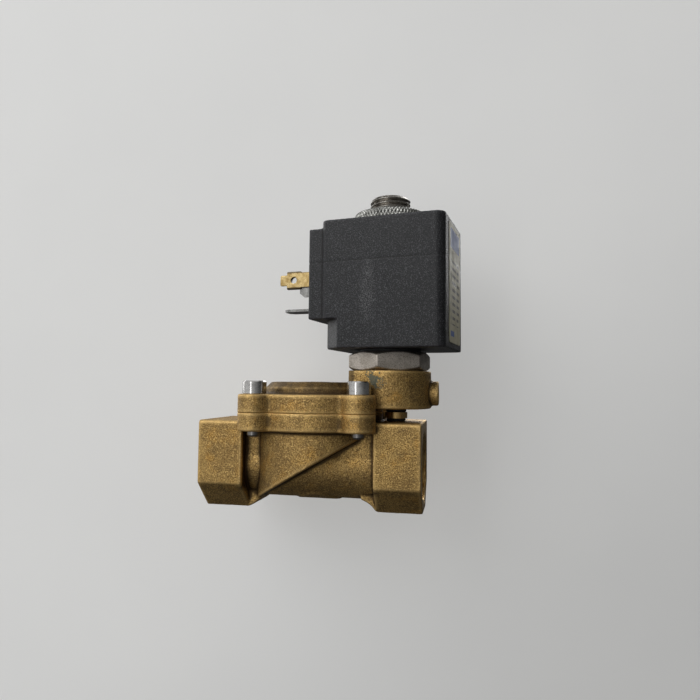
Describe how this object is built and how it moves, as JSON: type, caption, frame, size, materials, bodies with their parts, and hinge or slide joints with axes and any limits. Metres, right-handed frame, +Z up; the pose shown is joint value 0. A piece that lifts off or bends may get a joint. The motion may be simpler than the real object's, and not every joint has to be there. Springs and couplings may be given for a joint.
{
  "type": "solenoid valve",
  "caption": "Pilot-operated two-way brass diaphragm valve with threaded ports and a moulded plug-in coil held by a ring nut.",
  "frame": {"origin": "where the port axis crosses the diaphragm axis", "axes": "+X along the port axis from inlet to outlet, +Z up the diaphragm and coil axes, +Y away from the plug terminals' near side"},
  "size_m": [0.079, 0.0412, 0.0967],
  "materials": {
    "cast_brass": "rough cast, mottled brown patina",
    "machined_brass": "machined",
    "screw_steel": "polished stainless",
    "hex_steel": "matt stainless, turned",
    "core_steel": "dull ferritic stainless",
    "inner_steel": "bright ferritic stainless",
    "zinc_steel": "bright zinc plate, knurled",
    "spring_steel": "drawn wire",
    "tinned_blade": "dull tin plate",
    "receptacle_brass": "bright stamped sheet",
    "coil_plastic": "fine grain moulding, charcoal",
    "bobbin_plastic": "glass filled",
    "copper": "enamelled copper wire",
    "copper_ring": "bare copper",
    "yoke_steel": "zinc passivated strip",
    "rubber": "black nitrile",
    "label": "printed cream film"
  },
  "bodies": {
    "valve": {"valve_body": "cast_brass", "cover": "cast_brass", "cover_screws": "screw_steel", "pilot_link": "machined_brass", "link_oring_lower": "rubber", "link_oring_upper": "rubber", "passage_plug": "machined_brass", "pilot_seat": "machined_brass", "armature_tube": "hex_steel", "tube_oring": "rubber", "fixed_core": "core_steel", "shading_ring": "copper_ring", "coil_gasket": "rubber"},
    "main_valve": {"diaphragm": "rubber", "diaphragm_disc": "inner_steel", "diaphragm_stem": "machined_brass", "diaphragm_spring": "spring_steel"},
    "armature": {"plunger": "inner_steel", "plunger_seal": "rubber", "plunger_spring": "spring_steel"},
    "coil": {"coil_body": "coil_plastic", "coil_bobbin": "bobbin_plastic", "coil_winding": "copper", "coil_yoke": "yoke_steel", "terminal_near": "tinned_blade", "terminal_far": "tinned_blade", "terminal_earth": "tinned_blade", "connector_insert": "machined_brass", "nameplate": "label"},
    "receptacle": {"spade_receptacle": "receptacle_brass"},
    "nut_seal": {"nut_oring": "rubber"},
    "nut": {"coil_nut": "zinc_steel"}
  },
  "joints": [
    {"name": "diaphragm_lift", "type": "slide", "parent": "valve", "child": "main_valve", "axis": [0, 0, 1], "range_m": [0, 0.004], "deforming": ["diaphragm_spring", "diaphragm"]},
    {"name": "plunger_stroke", "type": "slide", "parent": "valve", "child": "armature", "axis": [0, 0, 1], "range_m": [0, 0.0018], "deforming": ["plunger_spring"]},
    {"name": "coil_turn", "type": "hinge", "parent": "valve", "child": "coil", "pos_m": [0.02275, 0, 0.055], "axis": [0, 0, 1], "continuous": true},
    {"name": "receptacle_pull", "type": "slide", "parent": "coil", "child": "receptacle", "axis": [-0.9877, 0.1561, 0], "range_m": [0, 0.012]},
    {"name": "nut_climb", "type": "slide", "parent": "valve", "child": "nut_seal", "axis": [0, 0, 1], "range_m": [0, 0.00762]},
    {"name": "nut_turn", "type": "hinge", "parent": "nut_seal", "child": "nut", "pos_m": [0.02275, 0, 0.076], "axis": [0, 0, 1], "range_deg": [0, 2160]}
  ],
  "couplings": [
    {"joint": "nut_climb", "follows": "nut_turn", "m_per_rad": 0.00020213}
  ]
}
